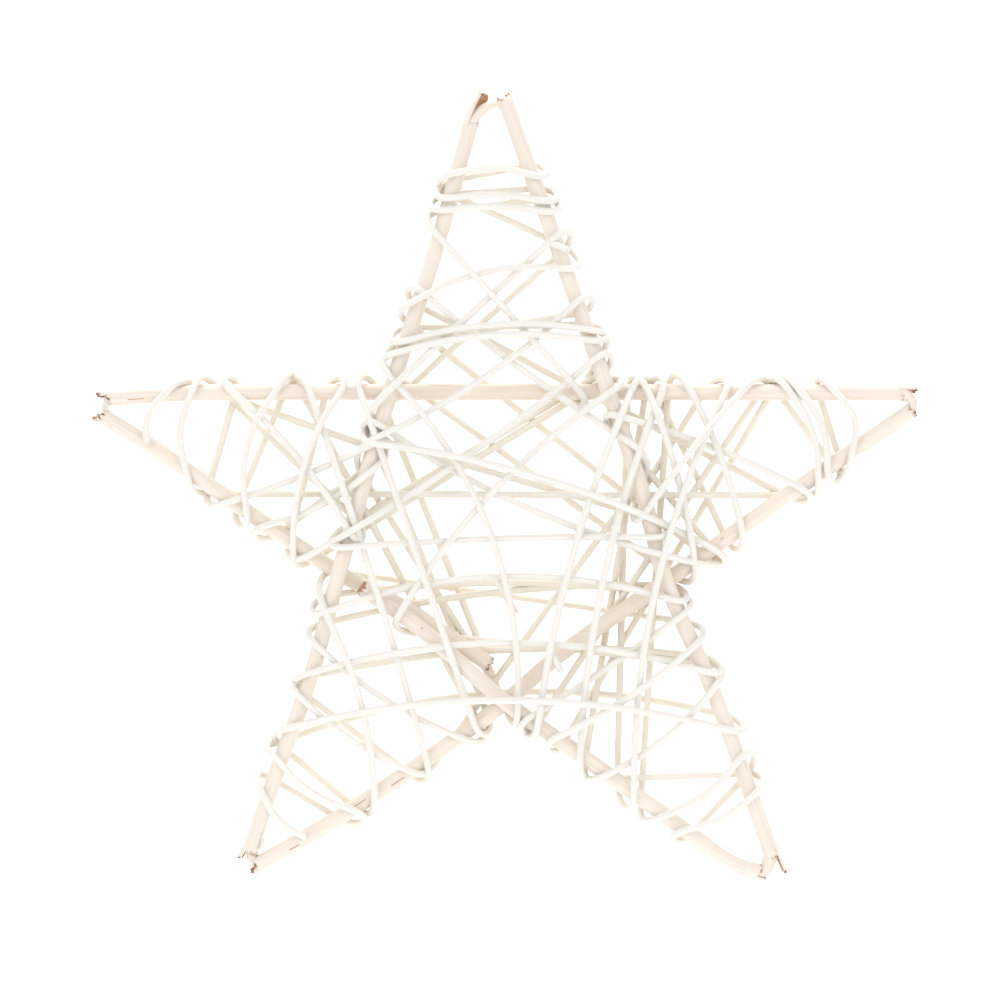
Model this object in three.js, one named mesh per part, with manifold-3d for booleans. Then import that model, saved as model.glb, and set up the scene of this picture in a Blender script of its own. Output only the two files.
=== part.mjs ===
// Rattan star ornament: one peeled rod bent into a five-pointed star, with a thin reed wound
// to and fro round its arms and across its middle, to hang from the notch under its top tip.
// Millimetres, +Z up. The star stands in the XZ plane and its front faces -Y.
// The origin is the hanging point, where a hook or thread bears on the underside of the top bend.
import * as THREE from 'three';
import { mergeVertices } from 'three/addons/utils/BufferGeometryUtils.js';
import Module from 'manifold-3d';

// Star
const TIP_RADIUS = 104.3;
const CENTRE_ACROSS = 3.6;
const CENTRE_DROP = 100;

// Rod
const ROD_DIAMETER = 4.0;
const ROD_CROSSING_GAP = 0.3;
const ROD_SIDES = 10;
const ROD_STEP = 13;
const LINE_SAMPLES = 30;

// The bent fibres of a tip: how far into each run they reach, and where they leave it, as shares
const STRAP_DIAMETER = 2.5;
const STRAP_REACH = 0.03;
const STRAP_BEND = 0.004;
const STRAP_SIDES = 6;
const STRAP_STEPS = 8;

// The cracked slivers
const SPLINTER_DIAMETER = 1.5;
const SPLINTER_POINT_DIAMETER = 0.6;
const SPLINTER_SIDES = 5;

// Reed
const REED_DIAMETER = 1.75;
const REED_CLEARANCE = 0.35;
const REED_PASS_GAP = 0.035;
const REED_STEP = 10;
const LONGEST_SLANT = 5.5;
const LEAST_CROSSING = 0.05;
const TURN_EASE = 1.06;

// How the reed settles: rounds of pulling taut and pushing apart
const SETTLING_ROUNDS = 260;
const PULL = 0.5;
const SPOTS_PER_STEP = 5;

// The tips of a regular star, by their angle round the centre, in degrees
const TIP_ANGLES = { top: 90, left: 162, lowerLeft: 234, lowerRight: 306, right: 18 };

// The five runs of the rod. Each goes from tip to tip, shifted at each end by [across, up] from the
// regular star, because it is bent by hand. Its bends are [share of its length, sideways, level]:
// sideways is the bow in mm, and level is -1 in front of a run it crosses and 1 behind it.
const RUNS = {
  a: { from: 'top', to: 'lowerLeft', start: [-6.5, -0.4], end: [-1.1, 3.5],
    bends: [[0.19, 0.9, -0.5], [0.388, 0.4, -1], [0.622, 1.2, -1], [0.75, 1.9, -0.6], [0.9, 0.5, -0.2]] },
  b: { from: 'top', to: 'lowerRight', start: [0.3, -1.9], end: [3.9, 3.3],
    bends: [[0.2, 0, -0.5], [0.381, 0, -1], [0.51, -0.4, -1], [0.627, -2.2, -1], [0.77, -0.3, -0.5]] },
  c: { from: 'left', to: 'right', start: [2.1, -1.2], end: [-0.6, 0],
    bends: [[0.12, 1.1, 0.4], [0.354, 1, 1], [0.624, 0.7, 1], [0.85, 0.3, 0.4]] },
  d: { from: 'left', to: 'lowerRight', start: [0.9, -5.1], end: [2.4, 0.1],
    bends: [[0.09, 0.8, 0.3], [0.353, 1.2, 1], [0.45, 3.2, 0.95], [0.57, 3.6, 0.8]] },
  e: { from: 'right', to: 'lowerLeft', start: [-0.9, -4.4], end: [0.8, 2.1],
    bends: [[0.2, -0.3, 0.6], [0.374, 0.1, 1], [0.535, 0.1, 1], [0.64, 2.2, 1], [0.88, 1.9, 0.4]] },
};

// Run d is lapped: its first piece ends at the last bend above, behind the piece that starts here
const LAP_BENDS = [
  [0.39, 1.4, -0.8], [0.47, 1.4, -0.8], [0.614, -1.6, -1], [0.75, -2, -0.6], [0.89, -2.3, -0.2],
];

// Each tip joins the end of one run to the end of another
const TIPS = [
  [['a', 0], ['b', 0]],
  [['c', 0], ['d', 0]],
  [['a', 1], ['e', 1]],
  [['b', 1], ['lap', 1]],
  [['c', 1], ['e', 0]],
];

// Cracked fibres that stand out of the tips: the run and its end, how far they stand out
// past it, and how far out to the side they lie, in mm
const SPLINTERS = [
  ['a', 0, 2.3, -0.9], ['b', 0, 1.2, 0.9], ['c', 0, 0.9, 0.9], ['d', 0, 1.6, 0.6], ['c', 1, 1.6, 0.9],
  ['a', 1, 1.2, -1.2], ['e', 1, 1.0, -0.8], ['b', 1, 2.6, 1.2], ['lap', 1, 1.2, 1.1],
];

// The winding in the order it is wound: the front passes, each from [run, share of it] to
// [run, share of it], with its bow in mm. Between two of them the reed goes round the rod and
// passes behind the star, with the bow that comes last.
const WINDING = [
  ['d', 0.074, 'c', 0.083, 2, 0], ['a', 0.48, 'd', 0.24, 1.6, 0], ['a', 0.441, 'd', 0.186, 0.7, 0],
  ['c', 0.147, 'a', 0.579, 2, 0], ['c', 0.11, 'd', 0.138, -2, 0], ['e', 0.145, 'c', 0.843, -2, 0],
  ['d', 0.641, 'b', 0.671, -0.5, -2.9], ['a', 0.675, 'b', 0.657, 7, -2.9],
  ['a', 0.713, 'e', 0.691, -2, 0], ['c', 0.216, 'd', 0.225, -3.5, 0], ['c', 0.25, 'e', 0.752, 1, 0],
  ['a', 0.755, 'b', 0.755, 7, -3.9], ['a', 0.782, 'e', 0.766, -1.5, 0], ['b', 0.469, 'a', 0.249, 0.9, 0],
  ['e', 0.159, 'b', 0.4, -1.4, 0], ['e', 0.322, 'a', 0.428, 4, 0], ['b', 0.573, 'a', 0.593, -0.9, 0],
  ['b', 0.332, 'd', 0.306, 2, 0], ['c', 0.298, 'd', 0.292, -3, 0], ['c', 0.643, 'd', 0.441, -4, 0],
  ['b', 0.768, 'd', 0.761, 2, 0], ['c', 0.694, 'd', 0.731, -4, 0], ['b', 0.913, 'd', 0.872, 1.4, 0],
  ['b', 0.861, 'd', 0.847, 1.8, 0], ['c', 0.72, 'e', 0.262, 1.3, 0], ['c', 0.656, 'd', 0.667, -3, 0],
  ['a', 0.467, 'b', 0.258, -2.5, 0], ['a', 0.352, 'd', 0.654, 9, 0], ['c', 0.312, 'e', 0.678, 0.2, 0],
  ['a', 0.414, 'b', 0.171, 0.2, 0], ['a', 0.454, 'e', 0.29, 4, 0], ['a', 0.273, 'b', 0.221, 3, 0],
  ['a', 0.103, 'b', 0.103, 1.5, 0], ['a', 0.136, 'b', 0.136, 1, 0], ['a', 0.152, 'b', 0.15, 1, 0],
  ['a', 0.174, 'c', 0.603, 0, 0], ['b', 0.304, 'a', 0.326, -2.5, 0], ['b', 0.318, 'a', 0.339, -2.5, 0],
  ['e', 0.336, 'c', 0.669, -1.4, 0], ['d', 0.812, 'c', 0.772, 6, 0], ['b', 0.547, 'c', 0.8, 0.7, 0],
  ['e', 0.095, 'c', 0.901, -2.5, 0], ['e', 0.131, 'c', 0.856, -2, 0], ['d', 0.681, 'b', 0.712, -1.5, 0],
  ['a', 0.643, 'e', 0.832, 2.5, 0], ['a', 0.828, 'b', 0.832, 7, -8], ['a', 0.866, 'e', 0.852, -1.8, 0],
  ['a', 0.913, 'e', 0.921, -1.5, 0],
];

// The reed's spare ends, which leave a pass of the list above at a share of it: [pass, side, share,
// across, deep, up, length], where side is -1 on the front and 1 behind, and length is in mm
const TAILS = [
  [29, -1, 0.97, 0.9, -0.4, -0.4, 5.5],
  [7, -1, 0.485, 0.5, 0.3, -0.87, 10.5],
  [11, -1, 0.597, 0.45, -0.2, -0.87, 7.5],
];

const ROD_RADIUS = ROD_DIAMETER / 2;
const CROSSING_DEPTH = (ROD_DIAMETER + ROD_CROSSING_GAP) / 2;

// The reed is a square bar of the round reed's section area
const REED_WIDTH = REED_DIAMETER * Math.sqrt(Math.PI / 4);
const REED_HALF_DIAGONAL = REED_WIDTH * Math.SQRT1_2;
const LOOP_RADIUS = ROD_RADIUS + REED_CLEARANCE + REED_HALF_DIAGONAL;
const REED_SPACING = REED_DIAMETER + REED_PASS_GAP;
const MERGE_DISTANCE = 1e-5;
const PARALLEL = 1e-9;

function tipPoint(tipName, [across, up]) {
  const angle = THREE.MathUtils.degToRad(TIP_ANGLES[tipName]);
  return new THREE.Vector3(
    CENTRE_ACROSS + TIP_RADIUS * Math.cos(angle) + across,
    0,
    -CENTRE_DROP + TIP_RADIUS * Math.sin(angle) + up,
  );
}

// Centre lines of the rod
function centreLine(run, bends, startsAtTip, endsAtTip) {
  const start = tipPoint(run.from, run.start);
  const end = tipPoint(run.to, run.end);
  const along = end.clone().sub(start);
  const sideways = new THREE.Vector3(-along.z, 0, along.x).normalize();
  const points = bends.map(([share, bow, level]) => {
    const point = start.clone().addScaledVector(along, share).addScaledVector(sideways, bow);
    point.y = level * CROSSING_DEPTH;
    return point;
  });
  if (startsAtTip) points.unshift(start);
  if (endsAtTip) points.push(end);
  return new THREE.CatmullRomCurve3(points, false, 'centripetal');
}

const lines = {
  a: centreLine(RUNS.a, RUNS.a.bends, true, true),
  b: centreLine(RUNS.b, RUNS.b.bends, true, true),
  c: centreLine(RUNS.c, RUNS.c.bends, true, true),
  d: centreLine(RUNS.d, RUNS.d.bends, true, false),
  e: centreLine(RUNS.e, RUNS.e.bends, true, true),
  lap: centreLine(RUNS.d, LAP_BENDS, false, true),
};

const lineSamples = Object.values(lines).map((line) => line.getSpacedPoints(LINE_SAMPLES));

// A closed bar along a curve
function bar(curve, section, steps) {
  return new THREE.ExtrudeGeometry(section, { steps, extrudePath: curve, curveSegments: 1 });
}

function roundSection(radius, sides) {
  const corners = [];
  for (let i = 0; i < sides; i += 1) {
    const angle = (2 * Math.PI * i) / sides;
    corners.push(new THREE.Vector2(radius * Math.cos(angle), radius * Math.sin(angle)));
  }
  return new THREE.Shape(corners);
}

function rodPiece(curve) {
  const steps = Math.ceil(curve.getLength() / ROD_STEP);
  return bar(curve, roundSection(ROD_RADIUS, ROD_SIDES), steps);
}

// The unbroken inner fibres that bend round a tip
function strap([first, second]) {
  const [firstLine, firstEnd] = first;
  const [secondLine, secondEnd] = second;
  const inside = (line, end, reach) => lines[line].getPointAt(end === 0 ? reach : 1 - reach);
  const curve = new THREE.CatmullRomCurve3([
    inside(firstLine, firstEnd, STRAP_REACH),
    inside(firstLine, firstEnd, STRAP_BEND),
    inside(secondLine, secondEnd, STRAP_BEND),
    inside(secondLine, secondEnd, STRAP_REACH),
  ], false, 'centripetal');
  return bar(curve, roundSection(STRAP_DIAMETER / 2, STRAP_SIDES), STRAP_STEPS);
}

// A cracked sliver that stands out of a run's end
function splinter([line, end, reach, side]) {
  const curve = lines[line];
  const tip = curve.getPointAt(end);
  const outward = curve.getTangentAt(end).multiplyScalar(end === 0 ? -1 : 1);
  const across = new THREE.Vector3(-outward.z, 0, outward.x).normalize();
  const length = reach + ROD_DIAMETER;
  const sliver = new THREE.CylinderGeometry(
    SPLINTER_POINT_DIAMETER / 2,
    SPLINTER_DIAMETER / 2,
    length,
    SPLINTER_SIDES,
  );
  sliver.applyQuaternion(new THREE.Quaternion().setFromUnitVectors(new THREE.Vector3(0, 1, 0), outward));
  const middle = tip.clone().addScaledVector(outward, reach - length / 2).addScaledVector(across, side);
  sliver.translate(middle.x, middle.y, middle.z);
  return sliver;
}

// Joining solids
const manifold = await Module();
manifold.setup();

function toSolid(geometry) {
  const plain = geometry.clone();
  plain.deleteAttribute('normal');
  plain.deleteAttribute('uv');
  const merged = mergeVertices(plain, MERGE_DISTANCE);
  return new manifold.Manifold(new manifold.Mesh({
    numProp: 3,
    vertProperties: new Float32Array(merged.attributes.position.array),
    triVerts: new Uint32Array(merged.index.array),
  }));
}

function joined(geometries) {
  const solids = geometries.map(toSolid);
  const whole = solids.slice(1).reduce((sum, solid) => sum.add(solid), solids[0]);
  const { vertProperties, triVerts } = whole.getMesh();
  const geometry = new THREE.BufferGeometry();
  geometry.setAttribute('position', new THREE.BufferAttribute(new Float32Array(vertProperties), 3));
  geometry.setIndex(new THREE.BufferAttribute(new Uint32Array(triVerts), 1));
  const faceted = geometry.toNonIndexed();
  faceted.computeVertexNormals();
  return faceted;
}

// A place on the winding: the point of the rod, its direction, and its front and back heights
function station(runName, share) {
  const lapStart = LAP_BENDS[0][0];
  const rearEnd = RUNS.d.bends.at(-1)[0];
  const isLap = runName === 'd' && share > lapStart;
  const line = isLap ? lines.lap : lines[runName];
  let lineShare = share;
  if (isLap) lineShare = (share - lapStart) / (1 - lapStart);
  else if (runName === 'd') lineShare = share / rearEnd;
  const point = line.getPointAt(lineShare);
  const tangent = line.getTangentAt(lineShare);
  tangent.y = 0;
  tangent.normalize();
  const deepest = isLap && share < rearEnd ? lines.d.getPointAt(share / rearEnd).y : point.y;
  return { point, tangent, frontY: point.y - LOOP_RADIUS, backY: deepest + LOOP_RADIUS };
}

// The in-plane route of one pass, from rod to rod, with its nodes still at the height of its ends
function passRoute(from, to, bow, side) {
  const towards = to.point.clone().sub(from.point);
  towards.y = 0;
  const ends = [[from, towards], [to, towards.clone().negate()]].map(([place, way]) => {
    const unit = way.clone().normalize();
    const alongRod = unit.dot(place.tangent);
    const acrossRod = Math.sqrt(Math.max(1 - alongRod * alongRod, LEAST_CROSSING));
    const slant = THREE.MathUtils.clamp((LOOP_RADIUS * alongRod) / acrossRod, -LONGEST_SLANT, LONGEST_SLANT);
    const point = place.point.clone().addScaledVector(place.tangent, slant);
    point.y = side < 0 ? place.frontY : place.backY;
    return point;
  });
  const reach = ends[1].clone().sub(ends[0]);
  const sideways = new THREE.Vector3(-reach.z, 0, reach.x).normalize();
  const count = Math.max(2, Math.round(Math.hypot(reach.x, reach.z) / REED_STEP));
  const nodes = [];
  for (let i = 0; i <= count; i += 1) {
    const t = i / count;
    nodes.push(ends[0].clone().lerp(ends[1], t).addScaledVector(sideways, 4 * bow * t * (1 - t)));
  }
  return { nodes, side, from, to };
}

// Where two flat segments cross, as shares of each, or null
function crossing(p, q, r, s) {
  const across = (q.x - p.x) * (s.z - r.z) - (q.z - p.z) * (s.x - r.x);
  if (Math.abs(across) < PARALLEL) return null;
  const t = ((r.x - p.x) * (s.z - r.z) - (r.z - p.z) * (s.x - r.x)) / across;
  const u = ((r.x - p.x) * (q.z - p.z) - (r.z - p.z) * (q.x - p.x)) / across;
  return t >= 0 && t <= 1 && u >= 0 && u <= 1 ? { t, u } : null;
}

// The point of a rod's centre line that lies nearest to a spot, seen from the front
function nearestOnLine(samples, spot) {
  let nearest = null;
  for (let k = 0; k + 1 < samples.length; k += 1) {
    const reachX = samples[k + 1].x - samples[k].x;
    const reachZ = samples[k + 1].z - samples[k].z;
    const dot = (spot.x - samples[k].x) * reachX + (spot.z - samples[k].z) * reachZ;
    const t = THREE.MathUtils.clamp(dot / (reachX * reachX + reachZ * reachZ), 0, 1);
    const point = samples[k].clone().lerp(samples[k + 1], t);
    const lateral = Math.hypot(spot.x - point.x, spot.z - point.z);
    if (!nearest || lateral < nearest.lateral) nearest = { lateral, y: point.y };
  }
  return nearest;
}

// Every spot of a pass that lies over a rod, with the height that it has to keep there
function rodContacts(pass) {
  const contacts = [];
  for (let i = 0; i + 1 < pass.nodes.length; i += 1) {
    for (let part = 0; part <= SPOTS_PER_STEP; part += 1) {
      const t = part / SPOTS_PER_STEP;
      const spot = pass.nodes[i].clone().lerp(pass.nodes[i + 1], t);
      for (const samples of lineSamples) {
        const { lateral, y } = nearestOnLine(samples, spot);
        if (lateral >= LOOP_RADIUS) continue;
        const rise = Math.sqrt(LOOP_RADIUS * LOOP_RADIUS - lateral * lateral);
        contacts.push({ i, t, limit: y + pass.side * rise });
      }
    }
  }
  return contacts;
}

// Every crossing of two passes, with the one that lies nearer the front named first
function reedContacts(passes) {
  const contacts = [];
  passes.forEach((first, m) => {
    passes.slice(m + 1).forEach((second) => {
      const secondInFront = second.side < 0;
      for (let i = 0; i + 1 < first.nodes.length; i += 1) {
        for (let k = 0; k + 1 < second.nodes.length; k += 1) {
          const hit = crossing(first.nodes[i], first.nodes[i + 1], second.nodes[k], second.nodes[k + 1]);
          if (!hit) continue;
          const a = { pass: first, i, t: hit.t };
          const b = { pass: second, i: k, t: hit.u };
          const sameSide = first.side === second.side;
          const swap = sameSide ? secondInFront : first.side > 0;
          contacts.push(swap ? [b, a] : [a, b]);
        }
      }
    });
  });
  return contacts;
}

function heightAt({ pass, i, t }) {
  return pass.nodes[i].y * (1 - t) + pass.nodes[i + 1].y * t;
}

function push({ pass, i, t }, amount) {
  const weight = (1 - t) * (1 - t) + t * t;
  pass.nodes[i].y += (amount * (1 - t)) / weight;
  pass.nodes[i + 1].y += (amount * t) / weight;
}

// Pulls every pass taut over what lies under it
function settle(passes) {
  const overRods = passes.map(rodContacts);
  const overReeds = reedContacts(passes);
  for (let round = 0; round < SETTLING_ROUNDS; round += 1) {
    for (const { nodes, side, from, to } of passes) {
      for (let i = 1; i + 1 < nodes.length; i += 1) {
        nodes[i].y += PULL * ((nodes[i - 1].y + nodes[i + 1].y) / 2 - nodes[i].y);
      }
      const rest = side < 0 ? [from.frontY, to.frontY] : [from.backY, to.backY];
      nodes[0].y += PULL * (rest[0] - nodes[0].y);
      nodes.at(-1).y += PULL * (rest[1] - nodes.at(-1).y);
    }
    for (const [front, behind] of overReeds) {
      const short = REED_SPACING - (heightAt(behind) - heightAt(front));
      if (short > 0) {
        push(front, -short / 2);
        push(behind, short / 2);
      }
    }
    passes.forEach((pass, m) => {
      for (const { i, t, limit } of overRods[m]) {
        const spot = { pass, i, t };
        const short = pass.side * (limit - heightAt(spot));
        if (short > 0) push(spot, pass.side * short);
      }
    });
  }
}

// The turn round a rod from the last node of one pass to the first node of the next
function turn(lastNode, firstNode, place, awayFrom) {
  const outward = new THREE.Vector3(-place.tangent.z, 0, place.tangent.x);
  if (outward.dot(awayFrom) > 0) outward.negate();
  const middleY = (lastNode.y + firstNode.y) / 2;
  const halfDepth = (firstNode.y - lastNode.y) / 2;
  return [-1, 0, 1].map((quarter) => {
    const angle = (quarter * Math.PI) / 4;
    const share = (quarter + 1) / 2;
    const base = lastNode.clone().lerp(firstNode, share);
    const alongRod = base.sub(place.point).dot(place.tangent) * Math.abs(Math.sin(angle));
    const point = place.point.clone().addScaledVector(place.tangent, alongRod);
    point.addScaledVector(outward, TURN_EASE * LOOP_RADIUS * Math.cos(angle));
    point.y = middleY + TURN_EASE * halfDepth * Math.sin(angle);
    return point;
  });
}

// All passes in winding order: front, behind, front, and so on
function windReed() {
  const passes = [];
  WINDING.forEach(([fromRun, fromShare, toRun, toShare, bow, bowBehind], i) => {
    const from = station(fromRun, fromShare);
    const to = station(toRun, toShare);
    passes.push(passRoute(from, to, bow, -1));
    if (i + 1 < WINDING.length) {
      const next = station(WINDING[i + 1][0], WINDING[i + 1][1]);
      passes.push(passRoute(to, next, bowBehind, 1));
    }
  });
  settle(passes);
  return passes;
}

function reedPoints(passes) {
  const points = [];
  passes.forEach((pass, m) => {
    points.push(...pass.nodes);
    const next = passes[m + 1];
    if (!next) return;
    const inward = pass.nodes[0].clone().sub(pass.nodes.at(-1));
    points.push(...turn(pass.nodes.at(-1), next.nodes[0], pass.to, inward));
  });
  return points;
}

function squareSection(width) {
  const half = width / 2;
  return new THREE.Shape([
    new THREE.Vector2(-half, -half), new THREE.Vector2(half, -half),
    new THREE.Vector2(half, half), new THREE.Vector2(-half, half),
  ]);
}

function reedBar(points) {
  const route = new THREE.CatmullRomCurve3(points);
  route.getUtoTmapping = (share) => share;
  return bar(route, squareSection(REED_WIDTH), points.length - 1);
}

function tail(passes, [row, side, share, across, deep, up, length]) {
  const pass = passes[row * 2 + (side > 0 ? 1 : 0)];
  const place = share * (pass.nodes.length - 1);
  const i = Math.floor(place);
  const start = pass.nodes[i].clone().lerp(pass.nodes[i + 1], place - i);
  const end = start.clone().addScaledVector(new THREE.Vector3(across, deep, up).normalize(), length);
  return reedBar([start, start.clone().lerp(end, 0.5), end]);
}

function makeMesh(name, geometry, colour, roughness) {
  const material = new THREE.MeshStandardMaterial({ color: colour, roughness, metalness: 0 });
  const mesh = new THREE.Mesh(geometry, material);
  mesh.name = name;
  return mesh;
}

const rodGeometry = joined([
  ...Object.values(lines).map(rodPiece),
  ...TIPS.map(strap),
  ...SPLINTERS.map(splinter),
]);
const passes = windReed();
const reedGeometry = joined([reedBar(reedPoints(passes)), ...TAILS.map((row) => tail(passes, row))]);

const group = new THREE.Group();
group.add(makeMesh('frame_rod', rodGeometry, 0xd8c0a4, 0.75));
group.add(makeMesh('reed_winding', reedGeometry, 0xf0e9dc, 0.7));

export default group;
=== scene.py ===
"""Rattan star ornament: a peeled rod bent into a five-pointed star and wound with thin pale reed.

Metres, +Z up. The star hangs in the XZ plane with its front towards -Y, and the origin is the
hanging point under the bend of its top tip.
"""
import math
import random

import bmesh
import bpy
import numpy as np
from mathutils import Matrix, Vector, noise


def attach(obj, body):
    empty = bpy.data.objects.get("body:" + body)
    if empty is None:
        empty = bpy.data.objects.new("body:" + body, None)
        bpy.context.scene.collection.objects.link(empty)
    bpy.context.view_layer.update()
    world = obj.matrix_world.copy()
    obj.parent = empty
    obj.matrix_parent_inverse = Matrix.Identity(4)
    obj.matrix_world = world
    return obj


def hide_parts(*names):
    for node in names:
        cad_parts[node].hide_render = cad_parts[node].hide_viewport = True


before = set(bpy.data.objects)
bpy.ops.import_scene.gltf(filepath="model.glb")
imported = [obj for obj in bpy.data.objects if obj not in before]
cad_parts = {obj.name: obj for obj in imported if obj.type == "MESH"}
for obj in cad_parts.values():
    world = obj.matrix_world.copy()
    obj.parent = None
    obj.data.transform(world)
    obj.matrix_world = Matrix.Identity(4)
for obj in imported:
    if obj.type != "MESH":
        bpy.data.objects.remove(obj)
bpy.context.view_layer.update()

# Star
TIP_RADIUS = 0.1043
RUN_LENGTH = TIP_RADIUS * 2 * math.sin(math.radians(72))
CENTRE = Vector((0.0036, 0.0, -0.100))
TIP_ANGLES = {"top": 90, "left": 162, "lower_left": 234, "lower_right": 306, "right": 18}

# Rod
ROD_DIAMETER = 0.0040
ROD_CROSSING_GAP = 0.0003
ROD_RADIUS = ROD_DIAMETER / 2
ROD_SIDES = 28
ROD_RING_STEP = 0.0011
CROSSING_DEPTH = (ROD_DIAMETER + ROD_CROSSING_GAP) / 2

# Reed
REED_DIAMETER = 0.00175
REED_SIDES = 12
REED_RING_STEP = 0.0011
REED_NODE_STEP = 0.0055
RINGS_PER_BLOCK = 140
LONGEST_SLANT = 0.0065
REED_SEAT = 0.56
LOOP_RADIUS = ROD_RADIUS + REED_DIAMETER * REED_SEAT
REED_SPACING = REED_DIAMETER
LEAST_CROSSING = 0.05
PARALLEL = 1e-12
FEWEST_STEPS = 3

# The loops round the rod: how far they stand off it, how full they are and how wide along it
STANDOFF = (0.0002, 0.0013)
STANDOFF_SEED = 7
LOOP_FULLNESS = 1.333
LONGEST_SWING = 0.0075
LEAST_OUTWARD = 0.1
LOOP_WIDTH = 0.0040
TURN_STEPS = 6

# How the reed settles: rounds of pulling taut and pushing apart
SETTLING_ROUNDS = 260
PULL = 0.5
SPOTS_PER_STEP = 3

# Curves
LEAST_GAP = 1e-9
SAMPLES_PER_STEP = 4
MERGE_DISTANCE = 1e-7

# Skins: the height of each lengthwise ripple, how many go round the bar and how far they are turned
ROD_RIPPLES = ((0.012, 4, 1.0), (0.010, 7, 0.0))
REED_RIPPLES = ((-0.035, 5, 0.6), (-0.02, 3, 0.0))
REED_OVAL = (1.03, 0.95)

# How the thickness wanders along a bar: its middle and swing as shares, its pace and its noise row
ROD_SWELL = (0.99, 0.02, 0.09, 0.0)
REED_SWELL = (1.0, 0.05, 0.05, 0.3)
REED_SEED = 1.7

# Finishes: light, dark and stained wood, and the painted shade, a darker and yellower tint, that it takes
# towards the back
ROD_WOOD = ((0.86, 0.79, 0.71), (0.77, 0.68, 0.585), (0.82, 0.73, 0.64))
ROD_PAINTED_SHADE_BEHIND = (0.985, 0.97, 0.94)
REED_WOOD = ((0.865, 0.838, 0.795), (0.79, 0.75, 0.69), (0.835, 0.80, 0.745))
REED_PAINTED_SHADE_BEHIND = (0.995, 0.96, 0.885)
FIBRE_CONTRAST = (0.38, 0.66)
STAIN_SCALE = 55.0
STAIN_CONTRAST = (0.5, 0.75)
STAIN_STRENGTH = 0.6
BUMP_STRENGTH = 0.6

# The brown wood inside a crack, light and dark
TORN_WOOD = ((0.74, 0.40, 0.24), (0.20, 0.09, 0.05))

# Studio
CAMERA_DISTANCE = 1.15
VIEW_WIDTH = 0.2421
VIEW_CENTRE = Vector((0.0024, 0.0, -0.0937))
SENSOR_WIDTH = 36.0
FLOOR_DROP = 0.30
BACKDROP_BEHIND = 2.2
STUDIO_HALF_WIDTH = 3.5
BACKDROP_HEIGHT = 3.5
COVE_RADIUS = 0.7
COVE_STEPS = 24
STUDIO_MERGE_DISTANCE = 1e-6
STUDIO_COLOUR = (0.93, 0.93, 0.93, 1)
STUDIO_ROUGHNESS = 0.9
AIR_BRIGHTNESS = 0.86
# Each light: place, what it faces, side of its square and power in watts
LIGHTS = {
    "key": ((-0.8, -1.1, 0.8), (0.0, 0.0, -0.1), 0.9, 3.9),
    "fill": ((1.0, -1.2, -0.1), (0.0, 0.0, -0.1), 1.0, 3.0),
    "backdrop": ((0.0, 0.6, 1.6), (0.0, 2.2, 0.0), 1.6, 40.0),
}

# The five runs of the rod, from tip to tip, with the [across, up] by which each end differs from
# a regular star, and bends of (share of the length, sideways bow, level in front or behind)
RUNS = {
    "a": ("top", "lower_left", (-0.0065, -0.0004), (-0.0011, 0.0035),
          [(0.19, 0.0009, -0.5), (0.388, 0.0004, -1), (0.622, 0.0012, -1), (0.75, 0.0019, -0.6),
           (0.9, 0.0005, -0.2)]),
    "b": ("top", "lower_right", (0.0003, -0.0019), (0.0039, 0.0033),
          [(0.2, 0, -0.5), (0.381, 0, -1), (0.51, -0.0004, -1), (0.627, -0.0022, -1),
           (0.77, -0.0003, -0.5)]),
    "c": ("left", "right", (0.0021, -0.0012), (-0.0006, 0),
          [(0.12, 0.0011, 0.4), (0.354, 0.001, 1), (0.624, 0.0007, 1), (0.85, 0.0003, 0.4)]),
    "d": ("left", "lower_right", (0.0009, -0.0051), (0.0024, 0.0001),
          [(0.09, 0.0008, 0.3), (0.353, 0.0012, 1), (0.45, 0.0032, 0.95), (0.57, 0.0036, 0.8)]),
    "e": ("right", "lower_left", (-0.0009, -0.0044), (0.0008, 0.0021),
          [(0.2, -0.0003, 0.6), (0.374, 0.0001, 1), (0.535, 0.0001, 1), (0.64, 0.0022, 1),
           (0.88, 0.0019, 0.4)]),
}
LAP_BENDS = [(0.39, 0.0014, -0.8), (0.47, 0.0014, -0.8), (0.614, -0.0016, -1), (0.75, -0.002, -0.6),
             (0.89, -0.0026, -0.2), (0.955, -0.0027, -0.1)]
LAP_START = LAP_BENDS[0][0]
REAR_END = RUNS["d"][4][-1][0]

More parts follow.
